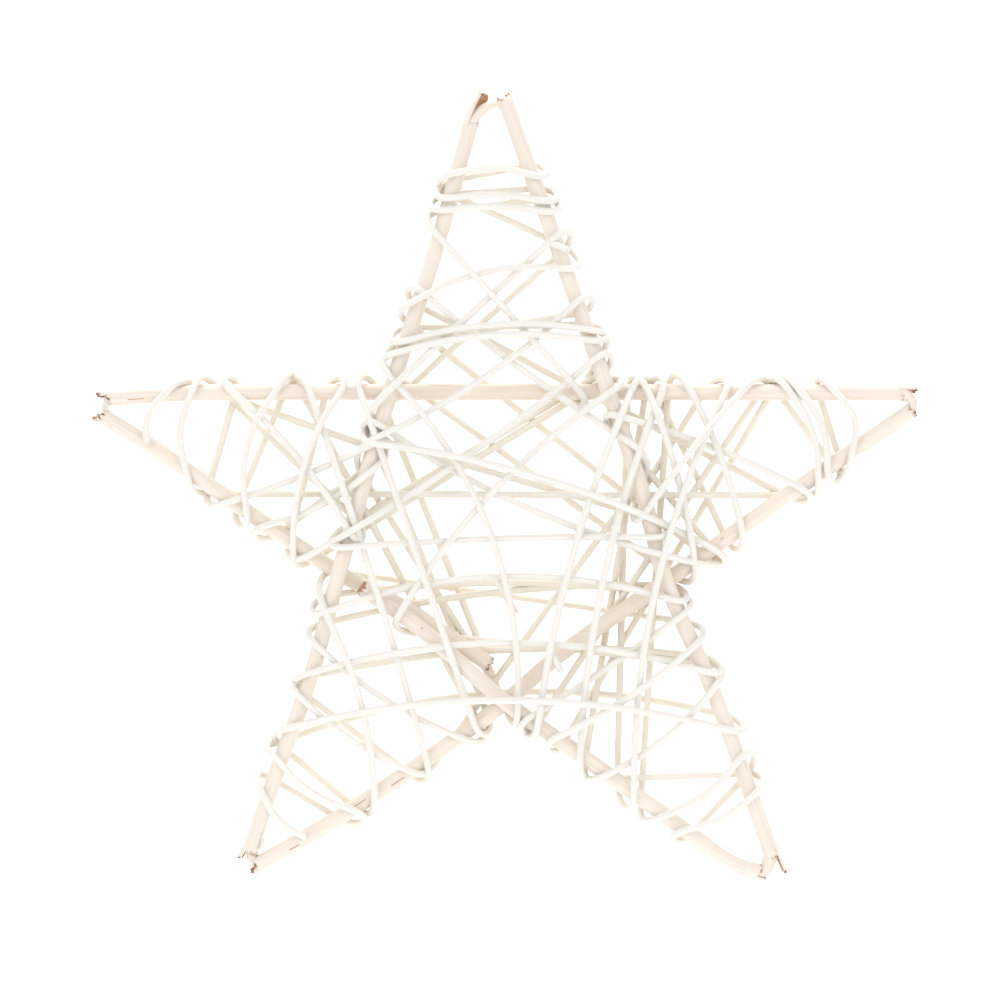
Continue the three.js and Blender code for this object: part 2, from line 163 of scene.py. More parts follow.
# The winding in the order it is wound: front passes from (run, share) to (run, share), with the
# bow of the pass and the bow of the pass behind the star that follows it
WINDING = [
    ("d", 0.074, "c", 0.083, 0.002, 0), ("a", 0.48, "d", 0.24, 0.0016, 0),
    ("a", 0.441, "d", 0.186, 0.0007, 0), ("c", 0.147, "a", 0.579, 0.002, 0),
    ("c", 0.11, "d", 0.138, -0.002, 0), ("e", 0.145, "c", 0.843, -0.002, 0),
    ("d", 0.641, "b", 0.671, -0.0005, -0.0029), ("a", 0.675, "b", 0.657, 0.007, -0.0029),
    ("a", 0.713, "e", 0.691, -0.002, 0), ("c", 0.216, "d", 0.225, -0.0035, 0),
    ("c", 0.25, "e", 0.752, 0.001, 0), ("a", 0.755, "b", 0.755, 0.007, -0.0039),
    ("a", 0.782, "e", 0.766, -0.0015, 0), ("b", 0.469, "a", 0.249, 0.0009, 0),
    ("e", 0.159, "b", 0.4, -0.0014, 0), ("e", 0.322, "a", 0.428, 0.004, 0),
    ("b", 0.573, "a", 0.593, -0.0009, 0), ("b", 0.332, "d", 0.306, 0.002, 0),
    ("c", 0.298, "d", 0.292, -0.003, 0), ("c", 0.643, "d", 0.441, -0.004, 0),
    ("b", 0.768, "d", 0.761, 0.002, 0), ("c", 0.694, "d", 0.731, -0.004, 0),
    ("b", 0.913, "d", 0.872, 0.0014, 0), ("b", 0.861, "d", 0.847, 0.0018, 0),
    ("c", 0.72, "e", 0.262, 0.0013, 0), ("c", 0.656, "d", 0.667, -0.003, 0),
    ("a", 0.467, "b", 0.258, -0.0025, 0), ("a", 0.352, "d", 0.654, 0.009, 0),
    ("c", 0.312, "e", 0.678, 0.0002, 0), ("a", 0.414, "b", 0.171, 0.0002, 0),
    ("a", 0.454, "e", 0.29, 0.004, 0), ("a", 0.273, "b", 0.221, 0.003, 0),
    ("a", 0.103, "b", 0.103, 0.0015, 0), ("a", 0.136, "b", 0.136, 0.001, 0),
    ("a", 0.152, "b", 0.15, 0.001, 0), ("a", 0.174, "c", 0.603, 0, 0),
    ("b", 0.304, "a", 0.326, -0.0025, 0), ("b", 0.318, "a", 0.339, -0.0025, 0),
    ("e", 0.336, "c", 0.669, -0.0014, 0), ("d", 0.812, "c", 0.772, 0.006, 0),
    ("b", 0.547, "c", 0.8, 0.0007, 0), ("e", 0.095, "c", 0.901, -0.0025, 0),
    ("e", 0.131, "c", 0.856, -0.002, 0), ("d", 0.681, "b", 0.712, -0.0015, 0),
    ("a", 0.643, "e", 0.832, 0.0025, 0), ("a", 0.828, "b", 0.832, 0.007, -0.008),
    ("a", 0.866, "e", 0.852, -0.0018, 0), ("a", 0.913, "e", 0.921, -0.0015, 0),
]

# The reed's spare ends: row of the winding, side, share of the pass, across, deep, up and length
TAILS = [
    (29, -1, 0.97, 0.9, -0.4, -0.4, 0.0055),
    (7, -1, 0.485, 0.5, 0.3, -0.87, 0.0105),
    (11, -1, 0.597, 0.45, -0.2, -0.87, 0.0075),
]

# How far before each tip the rod is still whole, or past it where the number is negative
WHOLE_TO = {
    ("a", 0): 0.0062, ("b", 0): -0.0007, ("c", 0): 0.0006, ("d", 0): 0.0014, ("a", 1): 0.0026,
    ("e", 1): -0.0004, ("b", 1): 0.0010, ("lap", 1): 0.0022, ("c", 1): 0.0020, ("e", 0): -0.0003,
}

# The broken halves that stand on past the bends: run, end, where the piece starts before the tip and
# stops past it, where the crack lies between the skin it faces (-1) and the far skin (1), how far its
# end leans in, how far the crack's face turns to the front in degrees, and its share of the rod's size
SHELLS = [
    ("a", 0, 0.0078, 0.0005, -0.45, 0.0010, 36, 1.0),
    ("b", 0, 0.0010, 0.0014, 0.20, 0.0000, 10, 0.95),
    ("b", 0, 0.0014, 0.0004, -0.30, 0.0012, 55, 0.45),
    ("c", 0, 0.0024, 0.0010, 0.10, 0.0000, 8, 0.99),
    ("c", 0, 0.0022, 0.0007, -0.20, 0.0004, 5, 0.55),
    ("d", 0, 0.0040, -0.0003, 0.22, 0.0000, 14, 1.0),
    ("d", 0, 0.0036, 0.0002, 0.62, 0.0000, 10, 0.95),
    ("c", 1, 0.0036, 0.0007, 0.15, 0.0000, 14, 1.0),
    ("a", 1, 0.0048, 0.0001, 0.32, -0.0008, 6, 0.99),
    ("e", 1, 0.0012, 0.0010, 0.10, 0.0000, 12, 0.95),
    ("b", 1, 0.0034, 0.0032, 0.42, -0.0003, 8, 0.99),
    ("lap", 1, 0.0066, -0.0009, 0.46, 0.0001, 10, 0.99),
    ("e", 0, 0.0010, 0.0004, 0.10, 0.0000, 10, 0.95),
]

# The unbroken fibres that bend round each tip: the two runs, how far inside each they leave its
# middle, and the (across, up, radius) of the bend between
STRAPS = [
    ("a", 0, 0.0066, "b", 0, 0.0022,
     [(-0.0030, -0.0001, 0.0014), (-0.0013, 0.0012, 0.0012), (0.0003, 0.0019, 0.0009),
      (0.0019, 0.0020, 0.0008)]),
    ("c", 0, 0.0022, "d", 0, 0.0028,
     [(-0.0927, -0.0699, 0.0010), (-0.0932, -0.0710, 0.0007), (-0.0930, -0.0722, 0.0009)]),
    ("a", 1, 0.0034, "e", 1, 0.0024,
     [(-0.0579, -0.1791, 0.0012), (-0.0576, -0.1805, 0.0012), (-0.0567, -0.1812, 0.0014)]),
    ("b", 1, 0.0024, "lap", 1, 0.0030,
     [(0.0674, -0.1813, 0.0017), (0.0668, -0.1831, 0.0016), (0.0652, -0.1840, 0.0016)]),
    ("c", 1, 0.0026, "e", 0, 0.0018,
     [(0.1012, -0.0688, 0.0013), (0.1022, -0.0700, 0.0012), (0.1021, -0.0712, 0.0013)]),
]
STRAP_ROOT = 0.0035
STRAP_GIRTH = 0.93
STRAP_RING_STEP = ROD_RING_STEP / 3
SHELL_HOLLOW = 0.30
SHELL_RING_STEP = 0.0004
SHELL_TAPER = 0.10
FIBRE_SIDES = 8
TORN_RIM = 0.0003
TORN_SHARE = 0.88

# The ragged ends: how far and how deep they fray, and how they lean towards the front
FRAY = 0.0007
FRAY_LENGTH = 0.0016
FRAY_FINENESS = 1900
FRAY_LEAN = 0.0002
FRAY_BACK_LEAN = -0.3

# Seed steps that make every run, end and broken half fray in its own way
RUN_SEED_STEP = 3.1
END_SEED_STEP = 5
SHELL_SEED_STEP = 1.7

# Loose fibres on the rod: (across, deep, up) of their points, and their radius
FIBRES = [
    ([(-0.0553, -0.0016, -0.1745), (-0.0549, -0.0017, -0.1765), (-0.0558, -0.0015, -0.1780),
      (-0.0572, -0.0012, -0.1786)], 0.00035),
]

# Slits and pinholes in the rod's skin, drawn as thin dark bars that stand for real slits and paint the shade
# inside them: line, from and to as shares of it, across as a share of the radius
SHADED_SLITS = [
    ("e", 0.938, 0.952, 0.35), ("e", 0.838, 0.856, -0.10), ("e", 0.782, 0.802, 0.25),
    ("e", 0.284, 0.287, -0.30), ("lap", 0.140, 0.144, 0.20), ("c", 0.030, 0.050, -0.40),
]
SLIT_RADIUS = 0.00011
SLIT_POINTS = 6


def make_camera():
    data = bpy.data.cameras.new("camera")
    data.sensor_width = SENSOR_WIDTH
    data.lens = SENSOR_WIDTH * CAMERA_DISTANCE / VIEW_WIDTH
    camera = bpy.data.objects.new("camera", data)
    camera.location = VIEW_CENTRE + Vector((0, -CAMERA_DISTANCE, 0))
    camera.rotation_euler = (math.radians(90), 0, 0)
    bpy.context.collection.objects.link(camera)
    bpy.context.scene.camera = camera


# Curves

def centripetal(points, spacing):
    """Points at even spacing along a centripetal Catmull-Rom curve through the given ones."""
    first = points[0] * 2 - points[1]
    last = points[-1] * 2 - points[-2]
    padded = [first] + list(points) + [last]
    fine = []
    for k in range(len(points) - 1):
        p = padded[k:k + 4]
        knots = [0.0]
        for i in range(3):
            knots.append(knots[-1] + max((p[i + 1] - p[i]).length, LEAST_GAP) ** 0.5)
        parts = max(2, math.ceil((p[2] - p[1]).length / spacing * SAMPLES_PER_STEP))
        for j in range(parts + (k == len(points) - 2)):
            t = knots[1] + (knots[2] - knots[1]) * j / parts
            fine.append(catmull_point(p, knots, t))
    return evenly(fine, spacing)


def catmull_point(p, k, t):
    """The point at t between the two middle ones of four points, whose knots are k."""
    level = [p[i].lerp(p[i + 1], (t - k[i]) / (k[i + 1] - k[i])) for i in range(3)]
    level = [level[i].lerp(level[i + 1], (t - k[i]) / (k[i + 2] - k[i])) for i in range(2)]
    return level[0].lerp(level[1], (t - k[1]) / (k[2] - k[1]))


def evenly(points, spacing):
    lengths = [0.0]
    for p, q in zip(points, points[1:]):
        lengths.append(lengths[-1] + (q - p).length)
    count = max(2, round(lengths[-1] / spacing))
    places = np.linspace(0, lengths[-1], count + 1)
    table = np.array([tuple(p) for p in points])
    columns = [np.interp(places, lengths, table[:, axis]) for axis in range(3)]
    return [Vector(values) for values in zip(*columns)]


def carried_frames(points):
    """A frame at each point, with its Z along the path and no more twist than the path has."""
    frames = []
    side = None
    for i, point in enumerate(points):
        ahead = points[min(i + 1, len(points) - 1)] - points[max(i - 1, 0)]
        ahead.normalize()
        if side is None:
            side = ahead.orthogonal()
        side = (side - ahead * side.dot(ahead)).normalized()
        up = ahead.cross(side)
        rows = Matrix((side, up, ahead)).transposed().to_4x4()
        frames.append(Matrix.Translation(point) @ rows)
    return frames


# Rod centre lines

def tip_point(tip, shift):
    angle = math.radians(TIP_ANGLES[tip])
    reach = Vector((math.cos(angle), 0, math.sin(angle))) * TIP_RADIUS
    return CENTRE + reach + Vector((shift[0], 0, shift[1]))


def centre_line(run, bends, from_tip, to_tip):
    start = tip_point(run[0], run[2])
    end = tip_point(run[1], run[3])
    along = end - start
    sideways = Vector((-along.z, 0, along.x)).normalized()
    points = []
    for share, bow, level in bends:
        point = start + along * share + sideways * bow
        point.y = level * CROSSING_DEPTH
        points.append(point)
    if from_tip:
        points.insert(0, start)
    if to_tip:
        points.append(end)
    return centripetal(points, ROD_RING_STEP)


def rod_lines():
    lines = {name: centre_line(run, run[4], True, name != "d") for name, run in RUNS.items()}
    lines["lap"] = centre_line(RUNS["d"], LAP_BENDS, False, True)
    return lines


def on_line(line, share):
    """The point and the direction at a share of a centre line."""
    place = share * (len(line) - 1)
    i = min(int(place), len(line) - 2)
    return line[i].lerp(line[i + 1], place - i), (line[i + 1] - line[i]).normalized()


# Reed route

def station(lines, run, share):
    """Where the reed goes round a rod: the place, the rod's direction, and both heights."""
    lapped = run == "d" and share > LAP_START
    if lapped:
        point, tangent = on_line(lines["lap"], (share - LAP_START) / (1 - LAP_START))
    else:
        point, tangent = on_line(lines[run], share / REAR_END if run == "d" else share)
    behind = on_line(lines["d"], share / REAR_END)[0].y if lapped and share < REAR_END else point.y
    tangent = Vector((tangent.x, 0, tangent.z)).normalized()
    return {"point": point, "tangent": tangent, "heights": (point.y - LOOP_RADIUS, behind + LOOP_RADIUS)}


def pass_route(start, finish, bow, side):
    """The nodes of one pass, seen from the front, still at the height of its ends."""
    towards = finish["point"] - start["point"]
    towards.y = 0
    ends = []
    for place, way in ((start, towards), (finish, -towards)):
        along = way.normalized().dot(place["tangent"])
        across = math.sqrt(max(1 - along * along, LEAST_CROSSING))
        slant = max(-LONGEST_SLANT, min(LONGEST_SLANT, LOOP_RADIUS * along / across))
        point = place["point"] + place["tangent"] * slant
        point.y = place["heights"][0 if side < 0 else 1]
        ends.append(point)
    reach = ends[1] - ends[0]
    sideways = Vector((-reach.z, 0, reach.x)).normalized()
    count = max(FEWEST_STEPS, round(math.hypot(reach.x, reach.z) / REED_NODE_STEP))
    nodes = []
    for i in range(count + 1):
        t = i / count
        nodes.append(ends[0].lerp(ends[1], t) + sideways * (4 * bow * t * (1 - t)))
    return {"nodes": nodes, "side": side, "from": start, "to": finish}


def rod_contacts(route, lines):
    """Every spot of a pass that lies over a rod: node, share to the next, height to keep."""
    contacts = []
    flat = [np.array([tuple(p) for p in line[::2] + [line[-1]]]) for line in lines.values()]
    for i in range(len(route["nodes"]) - 1):
        for part in range(SPOTS_PER_STEP + 1):
            t = part / SPOTS_PER_STEP
            spot = route["nodes"][i].lerp(route["nodes"][i + 1], t)
            for line in flat:
                gaps = np.hypot(line[:, 0] - spot.x, line[:, 2] - spot.z)
                nearest = int(gaps.argmin())
                lateral = float(gaps[nearest])
                if lateral < LOOP_RADIUS:
                    rise = math.sqrt(LOOP_RADIUS ** 2 - lateral ** 2)
                    contacts.append((i, t, float(line[nearest, 1]) + route["side"] * rise))
    return contacts


def crossing(p, q, r, s):
    """Where two segments cross, seen from the front, as shares of each, or None."""
    across = (q.x - p.x) * (s.z - r.z) - (q.z - p.z) * (s.x - r.x)
    if abs(across) < PARALLEL:
        return None
    t = ((r.x - p.x) * (s.z - r.z) - (r.z - p.z) * (s.x - r.x)) / across
    u = ((r.x - p.x) * (q.z - p.z) - (r.z - p.z) * (q.x - p.x)) / across
    return (t, u) if 0 <= t <= 1 and 0 <= u <= 1 else None


def reed_contacts(routes):
    """Every crossing of two passes, with the spot that lies nearer the front first."""
    contacts = []
    for m, first in enumerate(routes):
        for n in range(m + 1, len(routes)):
            second = routes[n]
            swap = second["side"] < 0 if first["side"] == second["side"] else first["side"] > 0
            for i in range(len(first["nodes"]) - 1):
                for k in range(len(second["nodes"]) - 1):
                    hit = crossing(first["nodes"][i], first["nodes"][i + 1],
                                   second["nodes"][k], second["nodes"][k + 1])
                    if hit:
                        one, other = (m, i, hit[0]), (n, k, hit[1])
                        contacts.append((other, one) if swap else (one, other))
    return contacts


def settle(routes, lines):
    """Pull every pass taut over the rods and the passes that lie under it."""
    heights = [[node.y for node in route["nodes"]] for route in routes]
    over_rods = [rod_contacts(route, lines) for route in routes]
    over_reeds = reed_contacts(routes)

    def height(spot):
        row = heights[spot[0]]
        return row[spot[1]] * (1 - spot[2]) + row[spot[1] + 1] * spot[2]

    def push(spot, amount):
        row, i, t = heights[spot[0]], spot[1], spot[2]
        weight = (1 - t) * (1 - t) + t * t
        row[i] += amount * (1 - t) / weight
        row[i + 1] += amount * t / weight

    for _ in range(SETTLING_ROUNDS):
        for route, row in zip(routes, heights):
            for i in range(1, len(row) - 1):
                row[i] += PULL * ((row[i - 1] + row[i + 1]) / 2 - row[i])
            which = 0 if route["side"] < 0 else 1
            row[0] += PULL * (route["from"]["heights"][which] - row[0])
            row[-1] += PULL * (route["to"]["heights"][which] - row[-1])
        for front, behind in over_reeds:
            short = REED_SPACING - (height(behind) - height(front))
            if short > 0:
                push(front, -short / 2)
                push(behind, short / 2)
        for m, route in enumerate(routes):
            for i, t, limit in over_rods[m]:
                spot = (m, i, t)
                short = route["side"] * (limit - height(spot))
                if short > 0:
                    push(spot, route["side"] * short)
    for route, row in zip(routes, heights):
        for node, y in zip(route["nodes"], row):
            node.y = y


def turn(leaving, following, place, standoff):
    """The points round the outer side of a rod: one pass runs on past it and swings back as the next."""
    outward = Vector((-place["tangent"].z, 0, place["tangent"].x))
    if outward.dot(leaving[-1] - leaving[-2]) < 0:
        outward.negate()
    reach = (LOOP_RADIUS + standoff) * LOOP_FULLNESS
    controls = []
    for end, before in ((leaving[-1], leaving[-2]), (following[0], following[1])):
        way = Vector((end.x - before.x, 0, end.z - before.z)).normalized()
        controls.append(end + way * min(reach / max(way.dot(outward), LEAST_OUTWARD), LONGEST_SWING))
    points = []
    for step in range(1, TURN_STEPS):
        t = step / TURN_STEPS
        points.append(leaving[-1] * (1 - t) ** 3 + controls[0] * (3 * t * (1 - t) ** 2)
                      + controls[1] * (3 * t * t * (1 - t)) + following[0] * t ** 3)
    return points


def beside(lines, run, share, place, other):
    """The place a loop's width along the rod, on the side to which the pass behind heads."""
    heading = place["tangent"].dot(other["point"] - place["point"])
    return station(lines, run, share + math.copysign(LOOP_WIDTH / RUN_LENGTH, heading))


def wind_reed(lines):
    """All passes in the order they are wound: front, behind, front, and so on."""
    routes = []
    for i, (from_run, from_share, to_run, to_share, bow, bow_behind) in enumerate(WINDING):
        start = station(lines, from_run, from_share)
        finish = station(lines, to_run, to_share)
        routes.append(pass_route(start, finish, bow, -1))
        if i + 1 < len(WINDING):
            next_run, next_share = WINDING[i + 1][:2]
            following = station(lines, next_run, next_share)
            behind = (beside(lines, to_run, to_share, finish, following),
                      beside(lines, next_run, next_share, following, finish))
            routes.append(pass_route(*behind, bow_behind, 1))
    settle(routes, lines)
    return routes


def reed_path(routes, chance):
    points = []
    for m, route in enumerate(routes):
        points.extend(route["nodes"])
        if m + 1 < len(routes):
            standoff = chance.uniform(*STANDOFF)
            points.extend(turn(route["nodes"], routes[m + 1]["nodes"], route["to"], standoff))
    return centripetal(points, REED_RING_STEP)


# Sweeping

def rippled(angle, ripples):
    """How far out the skin lies at an angle round the bar."""
    reach = 1.0
    for height, count, turned in ripples:
        reach += height * math.cos(count * angle + turned)
    return reach


def girths_along(points, radius, swell, seed):
    """The radius at each point, which wanders a little along the bar."""
    middle, swing, pace, row = swell
    wander = [noise.noise(Vector((seed, i * pace, row))) for i in range(len(points))]
    return [radius * (middle + swing * share) for share in wander]


def sweep(points, section, girth, sides, start=0.0, cap_start=True, cap_end=True, frames=None):
    """A bar along the points, with the girth of each ring, as a bmesh of its own.

    Each vertex keeps the place it has on the straight bar, for the grain, and whether it is torn.
    """
    frames = frames or carried_frames(points)
    bm = bmesh.new()
    straight = bm.verts.layers.float_vector.new("straight")
    bm.verts.layers.float.new("torn")
    ring = bmesh.ops.create_circle(bm, cap_ends=cap_start, radius=1.0, segments=sides)["verts"]
    for vert in ring:
        vert.co = section(math.atan2(vert.co.y, vert.co.x))
    place = frames[0] @ Matrix.Diagonal((girth[0], girth[0], 1, 1))
    bmesh.ops.transform(bm, matrix=place, verts=ring)
    edges = bm.edges[:]
    travelled = start
    mark(ring, place, straight, travelled, girth[0])
    for i in range(1, len(points)):
        out = bmesh.ops.extrude_edge_only(bm, edges=edges)["geom"]
        ring = [item for item in out if isinstance(item, bmesh.types.BMVert)]
        fresh = set(ring)
        edges = [item for item in out if isinstance(item, bmesh.types.BMEdge)
                 and item.verts[0] in fresh and item.verts[1] in fresh]
        ahead = frames[i] @ Matrix.Diagonal((girth[i], girth[i], 1, 1))
        bmesh.ops.transform(bm, matrix=ahead @ place.inverted(), verts=ring)
        place = ahead
        travelled += (points[i] - points[i - 1]).length
        mark(ring, place, straight, travelled, girth[i])
    if cap_end:
        bmesh.ops.contextual_create(bm, geom=edges)
    return bm, travelled


def tear_ends(bm, at_start, at_end, total, direction, seed):
    """Sink the middle of an end face, mark it torn, and make its rim ragged."""
    straight = bm.verts.layers.float_vector["straight"]
    torn = bm.verts.layers.float["torn"]
    # Only an end face has more than four corners
    caps = [face for face in bm.faces if len(face.verts) > 4]
    for face in caps:
        middle = sum(vert[straight][2] for vert in face.verts) / len(face.verts)
        if not (at_end if middle > total / 2 else at_start):
            continue
        bmesh.ops.inset_region(bm, faces=[face], thickness=TORN_RIM, depth=-TORN_RIM)
        for vert in face.verts:
            vert[torn] = 1.0
    for vert in bm.verts:
        for wanted, way, left in ((at_start, -1, vert[straight][2]), (at_end, 1, total - vert[straight][2])):
            if wanted and left < FRAY_LENGTH:
                rough = noise.noise(vert.co * FRAY_FINENESS + Vector((seed, 0, 0)))
                lean = FRAY_LEAN * max(-vert.co.y / ROD_RADIUS, FRAY_BACK_LEAN)
                vert.co += direction * way * (FRAY * rough * 2 - lean) * (1 - left / FRAY_LENGTH)


def mark_torn_face(bm):
    """Mark every vertex that lies deep inside the rod's round as torn."""
    torn = bm.verts.layers.float["torn"]
    straight = bm.verts.layers.float_vector["straight"]
    widest = max(math.hypot(vert[straight][0], vert[straight][1]) for vert in bm.verts)
    for vert in bm.verts:
        if math.hypot(vert[straight][0], vert[straight][1]) < TORN_SHARE * widest:
            vert[torn] = 1.0


def mark(ring, place, straight, travelled, girth):
    """Give each vertex of a ring its place on the straight bar."""
    back = place.inverted()
    for vert in ring:
        local = back @ vert.co
        vert[straight] = (local.x * girth, local.y * girth, travelled)


def add_to(whole, part):
    """Put one bmesh into another and free it."""
    mesh = bpy.data.meshes.new("part")
    part.to_mesh(mesh)
    part.free()
    whole.from_mesh(mesh)
    bpy.data.meshes.remove(mesh)


def new_piece(name, whole, material, node):
    """Make an object of a bmesh, which stands for a node and rides with the star."""
    bmesh.ops.remove_doubles(whole, verts=whole.verts, dist=MERGE_DISTANCE)
    bmesh.ops.recalc_face_normals(whole, faces=whole.faces)
    for face in whole.faces:
        face.smooth = True
    mesh = bpy.data.meshes.new(name)
    whole.to_mesh(mesh)
    whole.free()
    mesh.materials.append(material)
    piece = bpy.data.objects.new(name, mesh)
    bpy.context.collection.objects.link(piece)
    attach(piece, "root")
    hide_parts(node)


# Reed

def reed_section(angle):
    """The reed is a little oval, with shallow lengthwise grooves."""
    groove = rippled(angle, REED_RIPPLES)
    return Vector((math.cos(angle) * groove * REED_OVAL[0], math.sin(angle) * groove * REED_OVAL[1], 0))


def build_reed(lines, material):
    chance = random.Random(STANDOFF_SEED)
    routes = wind_reed(lines)
    points = reed_path(routes, chance)
    girths = girths_along(points, REED_DIAMETER / 2, REED_SWELL, REED_SEED)
    frames = carried_frames(points)
    whole = bmesh.new()
    travelled = 0.0
    for first in range(0, len(points) - 1, RINGS_PER_BLOCK):
        last = min(first + RINGS_PER_BLOCK, len(points) - 1)
        part, travelled = sweep(points[first:last + 1], reed_section, girths[first:last + 1], REED_SIDES,
                                travelled, first == 0, last == len(points) - 1, frames[first:last + 1])
        add_to(whole, part)
    for row in TAILS:
        add_to(whole, tail(routes, *row))
    new_piece("wound_reed", whole, material, "reed_winding")


def tail(routes, row, side, share, across, deep, up, length):
    """A spare end of the reed, which leaves a pass and stands off it."""
    nodes = routes[row * 2 + (1 if side > 0 else 0)]["nodes"]
    place = share * (len(nodes) - 1)
    i = int(place)
    start = nodes[i].lerp(nodes[i + 1], place - i)
    end = start + Vector((across, deep, up)).normalized() * length
    points = evenly([start, end], REED_RING_STEP)
    girths = girths_along(points, REED_DIAMETER / 2, REED_SWELL, share)
    return sweep(points, reed_section, girths, REED_SIDES)[0]


# Rod

def rod_section(angle):
    """The rod is round, with faint lengthwise ridges."""
    ripple = rippled(angle, ROD_RIPPLES)
    return Vector((math.cos(angle) * ripple, math.sin(angle) * ripple, 0))


def cut_rod(line, name):
    """The whole part of a run, cut back or drawn out at each tip."""
    points = list(line)
    for end in (0, 1):
        back = WHOLE_TO.get((name, end), 0.0)
        if end == 0:
            points.reverse()
        count = round(abs(back) / ROD_RING_STEP)
        if back > 0:
            points = points[:len(points) - count]
        for _ in range(count if back < 0 else 0):
            points.append(points[-1] * 2 - points[-2])
        if end == 0:
            points.reverse()
    return points


def rod_run(line, name, seed):
    """One run of the rod, with both its ends torn."""
    points = cut_rod(line, name)
    girths = girths_along(points, ROD_RADIUS, ROD_SWELL, seed)
    bar, total = sweep(points, rod_section, girths, ROD_SIDES)
    tear_ends(bar, True, False, total, (points[1] - points[0]).normalized(), seed)
    tear_ends(bar, False, True, total, (points[-1] - points[-2]).normalized(), seed + END_SEED_STEP)
    return bar


def strap(lines, first, first_end, first_back, second, second_end, second_back, waypoints):
    """The unbroken inner fibres that bend round a tip."""
    def inside(name, end, back):
        line = lines[name][::-1] if end == 1 else lines[name]
        return [(line[round(reach / ROD_RING_STEP)], ROD_RADIUS * STRAP_GIRTH)
                for reach in (back + STRAP_ROOT, back)]
    route = inside(first, first_end, first_back)
    route += [(Vector((across, 0, up)), radius) for across, up, radius in waypoints]
    route += inside(second, second_end, second_back)[::-1]
    points = centripetal([point for point, _ in route], STRAP_RING_STEP)
    travelled = [0.0]
    for (p, _), (q, _) in zip(route, route[1:]):
        travelled.append(travelled[-1] + (q - p).length)
    places = np.linspace(0, travelled[-1], len(points))
    girths = [float(value) for value in np.interp(places, travelled, [radius for _, radius in route])]
    return sweep(points, rod_section, girths, ROD_SIDES)[0]


def cut_section(cut):
    """The part of the round rod beyond a crack, with the crack's face a little hollow."""
    limit = math.acos(-cut)

    def section(angle):
        if abs(angle) >= limit:
            return Vector((math.cos(angle), math.sin(angle), 0))
        share = angle / limit
        return Vector((-cut - SHELL_HOLLOW * (1 - share * share), math.sin(limit) * share, 0))
    return section


def shell(lines, seed, name, end, start, reach, cut, lean, tilt, size):
    """A broken half of the rod, which stands on past the bend with its crack towards the inside."""
    line = lines[name] if end == 1 else lines[name][::-1]
    tip = line[-1]
    outward = (line[-1] - line[-2]).normalized()
    inward = Vector((-outward.z, 0, outward.x))
    if inward.dot(CENTRE - tip) < 0:
        inward.negate()
    facing = inward * math.cos(math.radians(tilt)) - Vector((0, math.sin(math.radians(tilt)), 0))
    back = round(start / ROD_RING_STEP)
    points = evenly(line[-1 - back:] + [tip + outward * reach], SHELL_RING_STEP)
    for i, point in enumerate(points):
        share = i / (len(points) - 1)
        points[i] = point + inward * (lean * share * share + ROD_RADIUS * (size - 1))
    frames = []
    for i, point in enumerate(points):
        ahead = (points[min(i + 1, len(points) - 1)] - points[max(i - 1, 0)]).normalized()
        side = (facing - ahead * facing.dot(ahead)).normalized()
        rows = Matrix((side, ahead.cross(side), ahead)).transposed().to_4x4()
        frames.append(Matrix.Translation(point) @ rows)
    count = len(points) - 1
    girths = [ROD_RADIUS * size * (1 - SHELL_TAPER * (i / count) ** 3) for i in range(count + 1)]
    bar, total = sweep(points, cut_section(cut), girths, ROD_SIDES, frames=frames)
    mark_torn_face(bar)
    tear_ends(bar, False, True, total, outward, seed)
    return bar


def shaded_slit(lines, name, start, stop, across):
    """A thin dark bar, sunk half into the front of the rod: a real slit, whose dark gap is painted shade in
    the torn colour.
    """
    points = []
    for share in np.linspace(start, stop, SLIT_POINTS):
        point, tangent = on_line(lines[name], float(share))
        sideways = Vector((-tangent.z, 0, tangent.x)) * (across * ROD_RADIUS)
        points.append(point + sideways - Vector((0, math.sqrt(1 - across * across) * ROD_RADIUS, 0)))
    bar = sweep(points, rod_section, [SLIT_RADIUS] * len(points), FIBRE_SIDES)[0]
    # The bar takes the dark torn colour all over: painted shade of the slit's gap
    torn = bar.verts.layers.float["torn"]
    for vert in bar.verts:
        vert[torn] = 1.0
    return bar


def build_rod(lines, material):
    whole = bmesh.new()
    for number, (name, line) in enumerate(lines.items()):
        add_to(whole, rod_run(line, name, number * RUN_SEED_STEP))
    for row in STRAPS:
        add_to(whole, strap(lines, *row))
    for number, row in enumerate(SHELLS):
        add_to(whole, shell(lines, number * SHELL_SEED_STEP, *row))
    for places, radius in FIBRES:
        points = centripetal([Vector(place) for place in places], SHELL_RING_STEP)
        add_to(whole, sweep(points, rod_section, [radius] * len(points), FIBRE_SIDES)[0])
    for row in SHADED_SLITS:
        add_to(whole, shaded_slit(lines, *row))
    new_piece("star_rod", whole, material, "frame_rod")


# Materials

